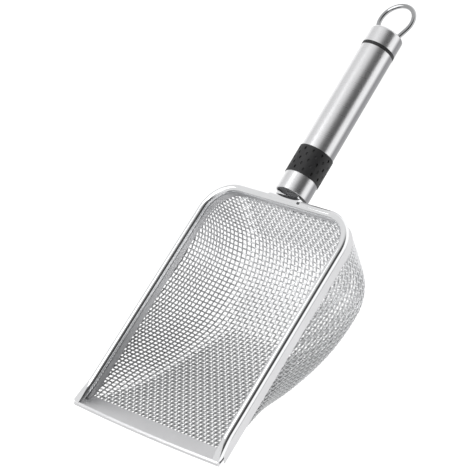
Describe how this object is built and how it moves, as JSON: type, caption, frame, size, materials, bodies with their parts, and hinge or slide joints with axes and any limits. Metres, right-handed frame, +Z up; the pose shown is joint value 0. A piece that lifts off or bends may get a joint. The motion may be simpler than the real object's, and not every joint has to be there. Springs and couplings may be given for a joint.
{
  "type": "beach sand scoop",
  "caption": "Hand-held sifting scoop: deep woven-wire basket in a bent wire rim with a sheet lip, on a round tube handle with a rubber grip ring and a hinged hanging loop.",
  "frame": {"origin": "bottom centre of the bounding box, on the surface the scoop lies on", "axes": "+X across the scoop, its mirror axis; +Y from the lip towards the handle; +Z up, with the scoop lying on its belly and the end of its handle"},
  "size_m": [0.1234, 0.3076, 0.0914],
  "materials": {
    "mesh_wire": "bright stainless wire",
    "polished_steel": "mirror-polished stainless",
    "satin_sheet": "satin stainless sheet",
    "brushed_handle": "brushed lengthwise",
    "black_rubber": "matte",
    "black_plastic": "matte"
  },
  "bodies": {
    "scoop": {"mesh_basket": "mesh_wire", "rim_wire": "polished_steel", "edge_binding": "satin_sheet", "lip_plate": "satin_sheet", "handle_tang": "polished_steel", "ferrule": "brushed_handle", "grip_ring": "black_rubber", "handle_tube": "brushed_handle", "cap_gasket": "black_rubber", "end_cap": "brushed_handle", "handle_core": "black_plastic", "end_plug": "black_plastic"},
    "loop": {"hanging_loop": "polished_steel"}
  },
  "joints": [
    {"name": "loop_swing", "type": "hinge", "parent": "scoop", "child": "loop", "pos_m": [0, 0.12696, 0.01118], "axis": [1, 0, 0], "range_deg": [-22, 26]}
  ]
}
